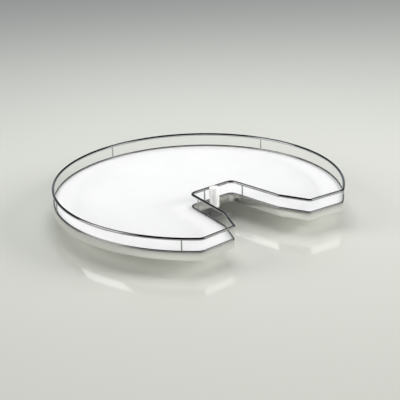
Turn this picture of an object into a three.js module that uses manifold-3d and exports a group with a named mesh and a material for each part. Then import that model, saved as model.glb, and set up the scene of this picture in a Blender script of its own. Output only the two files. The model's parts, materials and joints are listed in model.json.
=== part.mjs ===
// Revolving tray of a corner carousel. A white board with a slot at the front stands on a ball
// turntable; a bright band covers its edge, and a gallery of two wires and thin posts stands on it.
// Millimetres, +Z up. The origin is on the turning axis at the underside of the base plate, and the
// slot opens towards -Y.

import * as THREE from 'three';
import { mergeVertices } from 'three/addons/utils/BufferGeometryUtils.js';
import Module from 'manifold-3d';

const wasm = await Module();
wasm.setup();

// ---- Driving dimensions ------------------------------------------------------------------------

const clearance = 0.3;             // gap between a piece and what it seats on

// Outline, to the centre line of the rail
const trayDiameter = 820;          // over the rail
const frontSetback = 94.3;         // from the front of the full circle to the tips of the slot
const frontLean = degrees(3.9);    // each front edge leans out from its tip to the circle
const slotBackOffset = 55.7;       // from the turning axis to the back edge of the slot
const slotBackWidth = 147.2;       // back edge of the slot, between its sharp corners
const slotSideAngle = degrees(7.5);
const flareAngle = degrees(24.8);
const flareDepth = 84.6;           // from the bend in the slot's side to the tip
const throatRadius = 18;
const bendRadius = 22;
const tipRadius = 9;
const heelRadius = 24;             // where a front edge runs into the circle

// Heights
const boardHeight = 46;            // underside of the board above the floor
const boardThickness = 16;
const boardChamfer = 2.5;          // clears the foot wire, which lies over it
const bandDrop = 6;                // band below the board
const railRise = 35;               // between the centres of the two wires

// Band, wires and posts
const bandThickness = 2;
const bandOverhang = 1.5;          // outer face of the band beyond the rail line
const railDiameter = 8;
const footWireDiameter = 4;
const footWireInset = 1;           // centre of the foot wire inside the rail line
const postDiameter = 4;
const rimPostAngles = [degrees(45.6), degrees(112.8)];   // each side of the slot axis
const sidePostFromBack = 40;       // on the slot's sides, from its back edge
const backPostSpacing = 46.4;      // between the two posts on the slot's back edge

// White post at the back edge of the slot
const slotPostDiameter = 28;
const slotPostFlatDepth = 2.5;     // flat cut off the round, where it seats on the band
const slotPostWall = 3.5;
const slotPostFootGap = 1;         // foot of the post above the board's underside
const slotPostAboveRail = 4.5;     // top of the cap above the rail centre
const capThickness = 2.5;
const capSpigot = 5;
const slotPostScrewDiameter = 5;
const slotPostScrewLength = 44;
const slotPostScrewHead = 7.8;
const slotPostHeadHeight = 2.2;
const slotPostBossWall = 2.2;
const plugThickness = 1.2;
const plugSink = 0.2;              // plug face below the round of the post

// Clips that hold the band to the board
const rimClipAngles = [degrees(79.2), degrees(146.4)];
const sideClipFraction = 0.55;     // along the slot's side
const frontClipFraction = 0.5;     // along the front edge
const clipThickness = 1.5;
const clipWidth = 16;
const clipReach = 22;
const clipFootGap = 1;             // clip's leg above the lower edge of the band
const clipHoleFromEnd = 7;
const clipScrewDiameter = 3.5;
const clipScrewHead = 7.2;
const clipScrewHeadHeight = 2;
const clipScrewBite = 10;          // screw inside the board

// Ball turntable
const ballDiameter = 8;
const ballCount = 12;
const ballPitchDiameter = 45;
const raceLand = 2.5;              // race beside the groove
const raceFloor = 3.4;             // race under the groove
const raceGap = 2.4;               // between the faces of the two races
const cageThickness = 1.4;
const cageRim = 1.2;               // cage beside its pockets
const lowerRaceRelief = 0.5;       // lower race inside the turning skirt
const hubWall = 3.7;
const hubWeb = 6;
const hubSkirtGap = 2;             // skirt above the base plate
const hubFillet = 5;
const flangeThickness = 3;
const flangeScrewCount = 6;
const flangeScrewDiameter = 4;
const flangeScrewHead = 8;
const flangeScrewHeadHeight = 2.4;
const flangeScrewBite = 11;
const flangeScrewRoom = 1.5;       // between a screw head and the hub's wall
const flangeEdge = 5;              // flange beyond a screw head
const bushWall = 2.2;
const bushCollar = 3.5;            // collar beyond the sleeve
const bushCollarThickness = 1.5;
const spindleDiameter = 16;
const spindleFootDiameter = 28;
const spindleFootThickness = 3;
const threadDiameter = 12;
const threadBeyondNut = 3;
const threadChamfer = 1;
const washerDiameter = 30;
const washerThickness = 2;
const nutAcrossFlats = 19;
const nutHeight = 8;

// Base plate: a triangle with rounded corners, a screw hole in each, and its flat side to the slot
const baseThickness = 3;
const baseHoleCircle = 156;        // diameter of the circle through the holes
const baseCornerRadius = 14;
const baseHoleDiameter = 5.2;
const baseHoleSink = 9.6;          // countersink across its mouth

// Screw heads, as shares of the head's own size
const screwHeadFace = 0.7;         // flat face, of its width
const screwHeadRim = 0.5;          // straight rim, of its height

// How finely round forms are cut
const rimStep = degrees(4);
const filletStep = degrees(14);
const saddleSides = 16;
const turnedSides = 36;
const wireSides = 8;
const bearingSides = 28;
const boreSides = 14;
const smallSides = 8;
const slotPostSides = 16;
const capEdgeSteps = 2;
const hubFilletSteps = 3;
const ballSides = 8;
const ballRings = 6;
const grooveSteps = 4;
const weldDistance = 1e-4;         // corners nearer than this are one corner

// ---- Finishes ----------------------------------------------------------------------------------

const boardWhite = finish(0xf6f6f4, 0.35, 0);
const chrome = finish(0xb4b5b6, 0.06, 1);
const polishedBand = finish(0xe8e8e5, 0.1, 1);
const mouldedWhite = finish(0xf2f2ef, 0.3, 0);
const zincPlate = finish(0xb9bcc0, 0.35, 1);
const castGrey = finish(0x9a9da1, 0.45, 0.8);
const bearingSteel = finish(0xc4c7ca, 0.2, 1);
const cagePolymer = finish(0x2c2e30, 0.55, 0);
const palePaint = finish(0xe6e6e2, 0.45, 0);

// ---- Worked-out sizes --------------------------------------------------------------------------

const railRadius = railDiameter / 2;
const rimRadius = trayDiameter / 2 - railRadius;
const boardTop = boardHeight + boardThickness;
const bandBottom = boardHeight - bandDrop;
const footWireRadius = footWireDiameter / 2;
const footWireZ = boardTop + clearance + footWireRadius;
const railZ = footWireZ + railRise;
const bandInnerInset = bandThickness - bandOverhang;
const boardInset = bandInnerInset + clearance;
const rimSag = rimRadius * (1 - Math.cos(rimStep / 2));   // a facet of the rim inside the true circle
const slotPostRadius = slotPostDiameter / 2;
const slotPostFlat = slotPostRadius - slotPostFlatDepth;
const slotPostY = -(slotBackOffset + bandOverhang + clearance + slotPostFlat);
const slotPostScrewZ = boardHeight + boardThickness / 2;
const plugFaceY = slotPostY - slotPostRadius + plugSink;
const slotPostHeadY = plugFaceY + plugThickness + clearance;   // face of the screw's head
const slotPostSeatY = slotPostHeadY + slotPostHeadHeight + clearance;

// ---- Small tools -------------------------------------------------------------------------------

function degrees(angle) {
  return THREE.MathUtils.degToRad(angle);
}

function finish(color, roughness, metalness) {
  return new THREE.MeshStandardMaterial({ color, roughness, metalness });
}

/** Joins the shared corners of a closed geometry and drops triangles that have shrunk to a line. */
function weld(geometry) {
  const bare = geometry.index ? geometry.clone() : geometry;
  bare.deleteAttribute('normal');
  bare.deleteAttribute('uv');
  const welded = mergeVertices(bare, weldDistance);
  const corners = welded.index.array;
  const kept = [];
  for (let i = 0; i < corners.length; i += 3) {
    const [a, b, c] = [corners[i], corners[i + 1], corners[i + 2]];
    if (a !== b && b !== c && c !== a) kept.push(a, b, c);
  }
  welded.setIndex(kept);
  return welded;
}

function solid(geometry) {
  const welded = weld(geometry);
  return new wasm.Manifold(new wasm.Mesh({
    numProp: 3,
    vertProperties: Float32Array.from(welded.attributes.position.array),
    triVerts: Uint32Array.from(welded.index.array),
  }));
}

function geometryOf(manifold) {
  const { numProp, vertProperties, triVerts } = manifold.getMesh();
  const geometry = new THREE.BufferGeometry();
  const positions = [];
  for (let i = 0; i < vertProperties.length; i += numProp) {
    positions.push(vertProperties[i], vertProperties[i + 1], vertProperties[i + 2]);
  }
  geometry.setAttribute('position', new THREE.Float32BufferAttribute(positions, 3));
  geometry.setIndex(Array.from(triVerts));
  return geometry;
}

/** Takes each tool geometry out of a body. */
function cut(body, tools) {
  return geometryOf(tools.reduce((rest, tool) => rest.subtract(solid(tool)), solid(body)));
}

function join(first, second) {
  return geometryOf(solid(first).add(solid(second)));
}

function piece(name, geometry, material) {
  const shown = weld(geometry).toNonIndexed();
  shown.computeVertexNormals();
  const mesh = new THREE.Mesh(shown, material);
  mesh.name = name;
  return mesh;
}

/** Turns a closed profile of [radius, height] points, listed anticlockwise, round the Z axis. */
function turned(profile, sides = turnedSides) {
  const points = profile.map(([radius, z]) => new THREE.Vector2(radius, z));
  const closed = profile[0][0] === 0 ? points : [...points, points[0]];
  return new THREE.LatheGeometry(closed, sides).rotateX(Math.PI / 2);
}

/** A flat-bottomed prism of a shape between two heights. */
function prism(shape, bottom, top, curveSegments = slotPostSides) {
  const options = { depth: top - bottom, bevelEnabled: false, curveSegments };
  return new THREE.ExtrudeGeometry(shape, options).translate(0, 0, bottom);
}

/** A round bar between two points. */
function bar(radius, from, to, sides = smallSides) {
  const along = to.clone().sub(from);
  const geometry = new THREE.CylinderGeometry(radius, radius, along.length(), sides);
  const turn = new THREE.Quaternion().setFromUnitVectors(new THREE.Vector3(0, 1, 0),
    along.clone().normalize());
  return geometry.applyQuaternion(turn).translate(...from.clone().lerp(to, 0.5).toArray());
}

function upright(radius, x, y, bottom, top, sides = smallSides) {
  return bar(radius, new THREE.Vector3(x, y, bottom), new THREE.Vector3(x, y, top), sides);
}

/** A pan-head screw standing on its head: the head from 0 to headHeight, the shank above it. */
function screw(headDiameter, headHeight, diameter, shank) {
  const head = headDiameter / 2;
  const core = diameter / 2;
  const tipLength = diameter;
  return turned([
    [0, 0],
    [head * screwHeadFace, 0],
    [head, headHeight * (1 - screwHeadRim)],
    [head, headHeight],
    [core, headHeight],
    [core, headHeight + shank - tipLength],
    [0, headHeight + shank],
  ], smallSides);
}

// ---- Outline of the tray -----------------------------------------------------------------------

// The outline is a ring of stations, anticlockwise seen from above. Each has a point on the rail
// line and the direction into the tray there, so band, rail and board are offsets of one line.

const frontY = -(rimRadius - frontSetback);
const bendY = frontY + flareDepth;
const throat = new THREE.Vector2(slotBackWidth / 2, -slotBackOffset);
const bend = new THREE.Vector2(
  throat.x + (throat.y - bendY) * Math.tan(slotSideAngle), bendY);
const tip = new THREE.Vector2(bend.x + flareDepth * Math.tan(flareAngle), frontY);
const frontDirection = new THREE.Vector2(Math.cos(frontLean), -Math.sin(frontLean));

/** Direction to the left of a direction of travel: into the tray, on this outline. */
function leftOf(direction) {
  return new THREE.Vector2(-direction.y, direction.x);
}

/** Stations along an arc. The side is 1 where its centre is in the tray, -1 where in the slot. */
function arcStations(centre, radius, from, turn, step, side) {
  const count = Math.max(2, Math.ceil(Math.abs(turn) / step));
  return Array.from({ length: count + 1 }, (_, i) => {
    const angle = from + turn * i / count;
    const away = new THREE.Vector2(Math.cos(angle), Math.sin(angle));
    return {
      point: centre.clone().addScaledVector(away, radius),
      inward: away.clone().multiplyScalar(-side),
    };
  });
}

/** Stations round the rounded corner between two straight edges. */
function cornerStations(before, corner, after, radius) {
  const arriving = corner.clone().sub(before).normalize();
  const leaving = after.clone().sub(corner).normalize();
  const turn = Math.atan2(arriving.cross(leaving), arriving.dot(leaving));
  const side = Math.sign(turn);
  const setback = radius * Math.tan(Math.abs(turn) / 2);
  const away = leftOf(arriving).multiplyScalar(-side);
  const centre = corner.clone().addScaledVector(arriving, -setback).addScaledVector(away, -radius);
  return arcStations(centre, radius, Math.atan2(away.y, away.x), turn, filletStep, side);
}

/** Centre of the rounding between a front edge and the circle. */
function heelCentre() {
  const start = tip.clone().addScaledVector(leftOf(frontDirection), heelRadius);
  const along = start.dot(frontDirection);
  const reach = rimRadius - heelRadius;
  const run = -along + Math.sqrt(along * along - start.lengthSq() + reach * reach);
  return start.addScaledVector(frontDirection, run);
}

function mirrored({ point, inward }) {
  return {
    point: new THREE.Vector2(-point.x, point.y),
    inward: new THREE.Vector2(-inward.x, inward.y),
  };
}

const heel = heelCentre();
const heelEnd = heel.clone().addScaledVector(leftOf(frontDirection), -heelRadius);

function trayOutline() {
  const axis = new THREE.Vector2();
  const heelStart = Math.atan2(-frontDirection.x, frontDirection.y);
  const rimStart = Math.atan2(heel.y, heel.x);
  const rightHalf = [
    ...cornerStations(new THREE.Vector2(-throat.x, throat.y), throat, bend, throatRadius),
    ...cornerStations(throat, bend, tip, bendRadius),
    ...cornerStations(bend, tip, heelEnd, tipRadius),
    ...arcStations(heel, heelRadius, heelStart, rimStart - heelStart, filletStep, 1).slice(0, -1),
    ...arcStations(axis, rimRadius, rimStart, Math.PI / 2 - rimStart, rimStep, 1),
  ];
  const leftHalf = rightHalf.slice(0, -1).reverse().map(mirrored);
  return [...rightHalf, ...leftHalf];
}

const outline = trayOutline();

/** A closed section of [inset, height] points, anticlockwise, carried round the whole outline. */
function carriedRound(section) {
  const positions = outline.flatMap(({ point, inward }) => section.flatMap(([inset, z]) => [
    point.x + inward.x * inset,
    point.y + inward.y * inset,
    z,
  ]));
  const corners = [];
  const size = section.length;
  outline.forEach((_, here) => {
    const next = (here + 1) % outline.length;
    section.forEach((__, low) => {
      const high = (low + 1) % size;
      const [a, b] = [here * size + low, here * size + high];
      const [c, d] = [next * size + high, next * size + low];
      corners.push(a, b, c, a, c, d);
    });
  });
  const geometry = new THREE.BufferGeometry();
  geometry.setAttribute('position', new THREE.Float32BufferAttribute(positions, 3));
  geometry.setIndex(corners);
  return geometry;
}

// ---- Places on the outline ---------------------------------------------------------------------

/** A place on the circle, by its angle from the slot's axis. */
function onRim(angle) {
  const away = new THREE.Vector2(Math.sin(angle), -Math.cos(angle));
  return { point: away.clone().multiplyScalar(rimRadius), inward: away.clone().negate() };
}

/** A place on a straight edge, a fraction of the way along it. */
function onEdge(from, to, fraction) {
  const direction = to.clone().sub(from).normalize();
  return { point: from.clone().lerp(to, fraction), inward: leftOf(direction) };
}

function bothSides(places) {
  return places.flatMap((place) => [place, mirrored(place)]);
}

function postPlaces() {
  const sideFraction = sidePostFromBack / (throat.y - bend.y);
  const back = new THREE.Vector2(-throat.x, throat.y);
  const backFraction = 0.5 + backPostSpacing / (2 * slotBackWidth);
  return [
    onRim(Math.PI),
    ...bothSides(rimPostAngles.map(onRim)),
    ...bothSides([onEdge(throat, bend, sideFraction), onEdge(back, throat, backFraction)]),
  ];
}

function clipPlaces() {
  return bothSides([
    ...rimClipAngles.map(onRim),
    onEdge(throat, bend, sideClipFraction),
    onEdge(tip, heelEnd, frontClipFraction),
  ]);
}

/** A point inside the outline by an inset from a place. */
function insetFrom({ point, inward }, inset) {
  return point.clone().addScaledVector(inward, inset);
}

/** Puts a mesh, drawn with +X into the tray from the rail line, at a place. */
function putAt(mesh, { point, inward }) {
  mesh.position.set(point.x, point.y, 0);
  mesh.rotation.z = Math.atan2(inward.y, inward.x);
  return mesh;
}

// ---- Board, band, wires and posts --------------------------------------------------------------

const clips = clipPlaces();
const clipInset = bandInnerInset + clearance + rimSag;
const clipHoleInset = clipInset + clipReach - clipHoleFromEnd;
const clipTop = boardHeight - clearance;

function slotPostScrewHole() {
  const radius = slotPostScrewDiameter / 2 + clearance;
  const tipEnd = slotPostHeadY + slotPostHeadHeight + slotPostScrewLength + clearance;
  return bar(radius, new THREE.Vector3(0, slotPostHeadY, slotPostScrewZ),
    new THREE.Vector3(0, tipEnd, slotPostScrewZ));
}

function trayBoard() {
  const edge = outline.map((place) => insetFrom(place, boardInset));
  const body = new THREE.ExtrudeGeometry(new THREE.Shape(edge), {
    depth: boardThickness - 2 * boardChamfer,
    bevelThickness: boardChamfer,
    bevelSize: boardChamfer,
    bevelOffset: -boardChamfer,
    bevelSegments: 1,
  }).translate(0, 0, boardHeight + boardChamfer);
  const below = boardHeight - boardThickness;
  const clipHoles = clips.map((place) => {
    const { x, y } = insetFrom(place, clipHoleInset);
    const top = boardHeight + clipScrewBite + clearance;
    return upright(clipScrewDiameter / 2 + clearance, x, y, below, top);
  });
  const flangeHoles = flangeScrewPlaces().map(({ x, y }) => {
    const top = boardHeight + flangeScrewBite + clearance;
    return upright(flangeScrewDiameter / 2 + clearance, x, y, below, top);
  });
  const tools = [...clipHoles, ...flangeHoles, slotPostScrewHole()];
  return piece('tray_board', cut(body, tools), boardWhite);
}

function edgeBand() {
  const section = [
    [-bandOverhang, bandBottom],
    [bandInnerInset, bandBottom],
    [bandInnerInset, boardTop],
    [-bandOverhang, boardTop],
  ];
  return piece('edge_band', cut(carriedRound(section), [slotPostScrewHole()]), polishedBand);
}

/** A round wire bent to the outline. */
function wire(name, radius, inset, z) {
  const section = Array.from({ length: wireSides }, (_, i) => {
    const angle = 2 * Math.PI * i / wireSides;
    return [inset + radius * Math.cos(angle), z + radius * Math.sin(angle)];
  });
  return piece(name, carriedRound(section), chrome);
}

/** Uprights between the two wires, hollowed at both ends to fit them. */
function railPosts() {
  const wireSeat = (radius, inset, z) => bar(radius + clearance,
    new THREE.Vector3(inset, -postDiameter, z), new THREE.Vector3(inset, postDiameter, z),
    saddleSides);
  const geometry = cut(upright(postDiameter / 2, footWireInset, 0, footWireZ, railZ), [
    wireSeat(footWireRadius, footWireInset, footWireZ),
    wireSeat(railRadius, 0, railZ),
  ]);
  const places = postPlaces();
  return places.map((place, i) => putAt(piece(`rail_post_${i + 1}`, geometry, chrome), place));
}

// ---- White post at the back of the slot ----------------------------------------------------------

/** A round with a flat towards +Y. */
function flattedRound(radius, flat) {
  const corner = Math.asin(flat / radius);
  const shape = new THREE.Shape();
  shape.absarc(0, 0, radius, Math.PI - corner, 2 * Math.PI + corner, false);
  shape.closePath();
  return shape;
}

/** The groove behind the post and its cap, in which the rail lies. */
function railSaddle() {
  const reach = slotPostDiameter;
  const railY = -slotBackOffset - slotPostY;
  return bar(railRadius + clearance, new THREE.Vector3(-reach, railY, railZ),
    new THREE.Vector3(reach, railY, railZ), saddleSides);
}

const slotPostCapTop = railZ + slotPostAboveRail;
const slotPostTop = slotPostCapTop - capThickness - clearance;
const slotPostBore = flattedRound(slotPostRadius - slotPostWall, slotPostFlat - slotPostWall);

function slotPost() {
  const foot = boardHeight + slotPostFootGap;
  const wall = flattedRound(slotPostRadius, slotPostFlat);
  wall.holes.push(new THREE.Path(slotPostBore.getPoints(slotPostSides).reverse()));
  const front = new THREE.Vector3(0, -slotPostRadius + slotPostWall / 2, slotPostScrewZ);
  const back = new THREE.Vector3(0, slotPostFlat - slotPostWall / 2, slotPostScrewZ);
  const boss = bar(slotPostScrewHead / 2 + clearance + slotPostBossWall, front, back);
  const beyond = new THREE.Vector3(0, -slotPostDiameter, slotPostScrewZ);
  const seat = new THREE.Vector3(0, slotPostSeatY - slotPostY, slotPostScrewZ);
  const headHole = bar(slotPostScrewHead / 2 + clearance, beyond, seat);
  const shankHole = slotPostScrewHole().translate(0, -slotPostY, 0);
  const shell = join(prism(wall, foot, slotPostTop), boss);
  const body = cut(shell, [headHole, shankHole, railSaddle()]);
  const mesh = piece('slot_post', body, mouldedWhite);
  mesh.position.y = slotPostY;
  return mesh;
}

function slotPostCap() {
  const plateBottom = slotPostTop + clearance;
  const rounding = capThickness / 2;
  const plate = new THREE.ExtrudeGeometry(flattedRound(slotPostRadius, slotPostFlat), {
    depth: capThickness - rounding,
    bevelThickness: rounding,
    bevelSize: rounding,
    bevelOffset: -rounding,
    bevelSegments: capEdgeSteps,
    curveSegments: slotPostSides,
  }).translate(0, 0, plateBottom);
  const below = upright(slotPostDiameter, 0, 0, plateBottom - capThickness, plateBottom);
  const spigotShape = flattedRound(slotPostRadius - slotPostWall - clearance,
    slotPostFlat - slotPostWall - clearance);
  const spigot = prism(spigotShape, plateBottom - capSpigot, plateBottom + rounding);
  const lid = join(cut(plate, [below]), spigot);
  const mesh = piece('slot_post_cap', cut(lid, [railSaddle()]), mouldedWhite);
  mesh.position.y = slotPostY;
  return mesh;
}

function slotPostScrew() {
  const geometry = screw(slotPostScrewHead, slotPostHeadHeight, slotPostScrewDiameter,
    slotPostScrewLength);
  const mesh = piece('slot_post_screw', geometry, zincPlate);
  mesh.rotation.x = -Math.PI / 2;
  mesh.position.set(0, slotPostHeadY, slotPostScrewZ);
  return mesh;
}

function slotPostPlug() {
  const mesh = piece('slot_post_plug', turned([
    [0, 0],
    [slotPostScrewHead / 2, 0],
    [slotPostScrewHead / 2, plugThickness],
    [0, plugThickness],
  ], smallSides), mouldedWhite);
  mesh.rotation.x = -Math.PI / 2;
  mesh.position.set(0, plugFaceY, slotPostScrewZ);
  return mesh;
}

// ---- Clips under the board -----------------------------------------------------------------------

/** Angle clips: a leg against the band, and a foot under the board with its screw hole. */
function boardClips() {
  const legBottom = bandBottom + clipFootGap;
  const footBottom = clipTop - clipThickness;
  const angle = new THREE.Shape([
    new THREE.Vector2(clipInset, legBottom),
    new THREE.Vector2(clipInset + clipThickness, legBottom),
    new THREE.Vector2(clipInset + clipThickness, footBottom),
    new THREE.Vector2(clipInset + clipReach, footBottom),
    new THREE.Vector2(clipInset + clipReach, clipTop),
    new THREE.Vector2(clipInset, clipTop),
  ]);
  const strip = prism(angle, -clipWidth / 2, clipWidth / 2).rotateX(Math.PI / 2);
  const hole = upright(clipScrewDiameter / 2 + clearance, clipHoleInset, 0, legBottom,
    boardHeight + clipThickness);
  const geometry = cut(strip, [hole]);
  return clips.map((place, i) => putAt(piece(`board_clip_${i + 1}`, geometry, zincPlate), place));
}

function clipScrews() {
  const headBottom = clipTop - clipThickness - clearance - clipScrewHeadHeight;
  const shank = boardHeight + clipScrewBite - headBottom - clipScrewHeadHeight;
  const geometry = screw(clipScrewHead, clipScrewHeadHeight, clipScrewDiameter, shank)
    .translate(clipHoleInset, 0, headBottom);
  return clips.map((place, i) => putAt(piece(`clip_screw_${i + 1}`, geometry, zincPlate), place));
}

// ---- Ball turntable ------------------------------------------------------------------------------

const ballRadius = ballDiameter / 2;
const pitchRadius = ballPitchDiameter / 2;
const grooveRadius = ballRadius + clearance;
const raceInner = pitchRadius - ballRadius - raceLand;
const raceOuter = pitchRadius + ballRadius + raceLand;
const raceBottom = baseThickness + clearance;
const ballZ = raceBottom + raceFloor + grooveRadius;
const lowerRaceTop = ballZ - raceGap / 2;
const upperRaceBottom = ballZ + raceGap / 2;
const upperRaceTop = ballZ + grooveRadius + raceFloor;
const webBottom = upperRaceTop + clearance;
const webTop = webBottom + hubWeb;
const spindleRadius = spindleDiameter / 2;
const bushInner = spindleRadius + clearance;
const bushOuter = bushInner + bushWall;
const bushTop = webTop + clearance + bushCollarThickness;
const shoulderZ = bushTop + clearance;
const washerBottom = shoulderZ + clearance;
const nutBottom = washerBottom + washerThickness + clearance;
const threadTop = nutBottom + nutHeight + threadBeyondNut;
const raceBore = raceOuter + clearance;
const hubRadius = raceBore + hubWall;
const flangeScrewCircle = hubRadius + flangeScrewRoom + flangeScrewHead / 2;
const flangeRadius = flangeScrewCircle + flangeScrewHead / 2 + flangeEdge;
const flangeTop = boardHeight - clearance;
const flangeBottom = flangeTop - flangeThickness;

function flangeScrewPlaces() {
  return Array.from({ length: flangeScrewCount }, (_, i) => {
    const angle = 2 * Math.PI * (i + 0.5) / flangeScrewCount + Math.PI / 2;
    return new THREE.Vector2(Math.cos(angle), Math.sin(angle)).multiplyScalar(flangeScrewCircle);
  });
}

/** Cup-shaped hub: skirt over the bearing, web on the upper race, flange under the board. */
function hub() {
  const fillet = Array.from({ length: hubFilletSteps + 1 }, (_, i) => {
    const angle = Math.PI - Math.PI / 2 * i / hubFilletSteps;
    return [
      hubRadius + hubFillet * (1 + Math.cos(angle)),
      flangeBottom - hubFillet * (1 - Math.sin(angle)),
    ];
  });
  const body = turned([
    [raceBore, baseThickness + hubSkirtGap],
    [hubRadius, baseThickness + hubSkirtGap],
    ...fillet,
    [flangeRadius, flangeBottom],
    [flangeRadius, flangeTop],
    [raceBore, flangeTop],
    [raceBore, webTop],
    [bushOuter + clearance, webTop],
    [bushOuter + clearance, webBottom],
    [raceBore, webBottom],
  ]);
  const holes = flangeScrewPlaces().flatMap(({ x, y }) => [
    upright(flangeScrewDiameter / 2 + clearance, x, y, flangeBottom - hubFillet, boardTop),
    upright(flangeScrewHead / 2 + clearance, x, y, flangeBottom - 2 * hubFillet, flangeBottom),
  ]);
  return piece('hub', cut(body, holes), castGrey);
}

function flangeScrews() {
  const headBottom = flangeBottom - clearance - flangeScrewHeadHeight;
  const shank = boardHeight + flangeScrewBite - headBottom - flangeScrewHeadHeight;
  const geometry = screw(flangeScrewHead, flangeScrewHeadHeight, flangeScrewDiameter, shank);
  return flangeScrewPlaces().map(({ x, y }, i) => {
    const mesh = piece(`flange_screw_${i + 1}`, geometry, zincPlate);
    mesh.position.set(x, y, headBottom);
    return mesh;
  });
}

function hubBush() {
  return piece('hub_bush', turned([
    [bushInner, webBottom],
    [bushOuter, webBottom],
    [bushOuter, webTop + clearance],
    [bushOuter + bushCollar, webTop + clearance],
    [bushOuter + bushCollar, bushTop],
    [bushInner, bushTop],
  ], bearingSides), cagePolymer);
}

/** Points of a race groove, from its outer lip to its inner lip, below the balls' centre. */
function grooveProfile(lipZ) {
  const rise = Math.abs(ballZ - lipZ);
  const lip = Math.acos(rise / grooveRadius);
  return Array.from({ length: grooveSteps + 1 }, (_, i) => {
    const angle = lip - 2 * lip * i / grooveSteps;
    return [pitchRadius + grooveRadius * Math.sin(angle), grooveRadius * Math.cos(angle)];
  });
}

function lowerRace() {
  return piece('lower_race', turned([
    [raceInner, raceBottom],
    [raceOuter - lowerRaceRelief, raceBottom],
    [raceOuter - lowerRaceRelief, lowerRaceTop],
    ...grooveProfile(lowerRaceTop).map(([radius, depth]) => [radius, ballZ - depth]),
    [raceInner, lowerRaceTop],
  ], bearingSides), bearingSteel);
}

function upperRace() {
  return piece('upper_race', turned([
    [raceInner, upperRaceBottom],
    ...grooveProfile(upperRaceBottom).reverse().map(([radius, depth]) => [radius, ballZ + depth]),
    [raceOuter, upperRaceBottom],
    [raceOuter, upperRaceTop],
    [raceInner, upperRaceTop],
  ], bearingSides), bearingSteel);
}

function ballPlaces() {
  return Array.from({ length: ballCount }, (_, i) => {
    const angle = 2 * Math.PI * i / ballCount;
    return new THREE.Vector3(pitchRadius * Math.cos(angle), pitchRadius * Math.sin(angle), ballZ);
  });
}

function ballCage() {
  const half = cageThickness / 2;
  const inner = pitchRadius - grooveRadius - cageRim;
  const outer = pitchRadius + grooveRadius + cageRim;
  const ring = turned([
    [inner, ballZ - half],
    [outer, ballZ - half],
    [outer, ballZ + half],
    [inner, ballZ + half],
  ], bearingSides);
  const pockets = ballPlaces().map(({ x, y }) =>
    upright(grooveRadius, x, y, ballZ - cageThickness, ballZ + cageThickness));
  return piece('ball_cage', cut(ring, pockets), cagePolymer);
}

function balls() {
  const geometry = new THREE.SphereGeometry(ballRadius, ballSides, ballRings);
  return ballPlaces().map((place, i) => {
    const mesh = piece(`ball_${i + 1}`, geometry, bearingSteel);
    mesh.position.copy(place);
    return mesh;
  });
}

function spindle() {
  const thread = threadDiameter / 2;
  return piece('spindle', turned([
    [0, raceBottom],
    [spindleFootDiameter / 2, raceBottom],
    [spindleFootDiameter / 2, raceBottom + spindleFootThickness],
    [spindleRadius, raceBottom + spindleFootThickness],
    [spindleRadius, shoulderZ],
    [thread, shoulderZ],
    [thread, threadTop - threadChamfer],
    [thread - threadChamfer, threadTop],
    [0, threadTop],
  ], bearingSides), zincPlate);
}

function retainingWasher() {
  return piece('retaining_washer', turned([
    [threadDiameter / 2 + clearance, washerBottom],
    [washerDiameter / 2, washerBottom],
    [washerDiameter / 2, washerBottom + washerThickness],
    [threadDiameter / 2 + clearance, washerBottom + washerThickness],
  ], bearingSides), zincPlate);
}

/** Hexagon nut with the corners of its upper face turned off. */
function lockNut() {
  const cornerRadius = nutAcrossFlats / Math.sqrt(3);
  const hexagon = upright(cornerRadius, 0, 0, nutBottom, nutBottom + nutHeight, 6);
  const bore = upright(threadDiameter / 2 + clearance, 0, 0, nutBottom - nutHeight,
    nutBottom + 2 * nutHeight, boreSides);
  const cone = turned([
    [0, nutBottom - nutHeight],
    [cornerRadius + nutHeight, nutBottom - nutHeight],
    [cornerRadius + nutHeight, nutBottom],
    [nutAcrossFlats / 2, nutBottom + nutHeight],
    [0, nutBottom + nutHeight],
  ], bearingSides);
  const turnedOff = solid(hexagon).intersect(solid(cone));
  return piece('lock_nut', geometryOf(turnedOff.subtract(solid(bore))), zincPlate);
}

/** Plate for the cabinet floor, with a countersunk hole in each corner. */
function basePlate() {
  const corners = [90, 210, 330].map(degrees);
  const reach = baseHoleCircle / 2;
  const shape = new THREE.Shape();
  corners.forEach((angle) => shape.absarc(reach * Math.cos(angle), reach * Math.sin(angle),
    baseCornerRadius, angle - Math.PI / 3, angle + Math.PI / 3, false));
  shape.closePath();
  const hole = baseHoleDiameter / 2;
  const sink = baseHoleSink / 2;
  const drill = turned([
    [0, -baseThickness],
    [hole, -baseThickness],
    [hole, baseThickness - (sink - hole)],
    [sink + clearance, baseThickness + clearance],
    [0, baseThickness + clearance],
  ], saddleSides);
  const drills = corners.map((angle) =>
    drill.clone().translate(reach * Math.cos(angle), reach * Math.sin(angle), 0));
  return piece('base_plate', cut(prism(shape, 0, baseThickness, smallSides), drills), palePaint);
}

// ---- Assembly ------------------------------------------------------------------------------------

const base = new THREE.Group();
base.add(basePlate(), spindle(), lowerRace(), retainingWasher(), lockNut());

const rolling = new THREE.Group();
rolling.add(ballCage(), ...balls());

const tray = new THREE.Group();
tray.add(trayBoard(), edgeBand(), ...railPosts());
tray.add(wire('foot_rail', footWireRadius, footWireInset, footWireZ));
tray.add(wire('top_rail', railRadius, 0, railZ));
tray.add(slotPost(), slotPostCap(), slotPostScrew(), slotPostPlug());
tray.add(...boardClips(), ...clipScrews());
tray.add(hub(), ...flangeScrews(), hubBush(), upperRace());

const carousel = new THREE.Group();
carousel.add(base, rolling, tray);

export default carousel;
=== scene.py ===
"""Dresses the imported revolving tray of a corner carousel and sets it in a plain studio.

A mesh is built in millimetres and becomes an object in metres. The tray's outline is a ring of
stations; the board, the band and the wires are offsets of it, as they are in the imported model.
"""

import json
import logging
import math
from dataclasses import dataclass, field
from enum import Enum
from typing import NamedTuple, Sequence

import bmesh
import bpy
from mathutils import Matrix, Vector


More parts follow.
